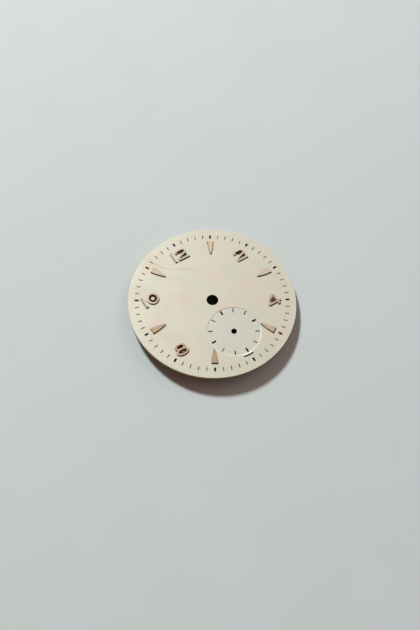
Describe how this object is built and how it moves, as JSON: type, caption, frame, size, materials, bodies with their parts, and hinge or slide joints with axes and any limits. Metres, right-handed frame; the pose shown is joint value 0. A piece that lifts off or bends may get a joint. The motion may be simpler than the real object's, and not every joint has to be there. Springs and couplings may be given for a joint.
{
  "type": "watch dial",
  "caption": "Round wristwatch dial with applied figures and tapered hour markers, printed minute marks, a sunk small-seconds circle and rear locating feet.",
  "frame": {"origin": "axis of the centre hole at the back face of the plate", "axes": "+Z out of the face along the centre hole, +Y towards twelve o'clock, +X towards three o'clock"},
  "size_m": [0.028, 0.028, 0.0016],
  "materials": {
    "silvered_brass": "matt silvering, aged to warm cream, over rolled brass",
    "copper": "turned copper, dull",
    "rose_gilt": "polished rose-gilt brass with dull edges",
    "black_ink": "pad-printed black lacquer"
  },
  "bodies": {
    "root": {"dial_plate": "silvered_brass", "dial_foot_near_4": "copper", "dial_foot_near_10": "copper", "numeral_12_one": "rose_gilt", "numeral_12_two": "rose_gilt", "numeral_2": "rose_gilt", "numeral_4": "rose_gilt", "numeral_8": "rose_gilt", "numeral_10_one": "rose_gilt", "numeral_10_zero": "rose_gilt", "marker_1": "rose_gilt", "marker_3": "rose_gilt", "marker_5": "rose_gilt", "marker_7": "rose_gilt", "marker_9": "rose_gilt", "marker_11": "rose_gilt", "hour_ticks": "black_ink", "minute_ticks": "black_ink", "seconds_quarter_ticks": "black_ink", "seconds_five_ticks": "black_ink"}
  },
  "joints": []
}
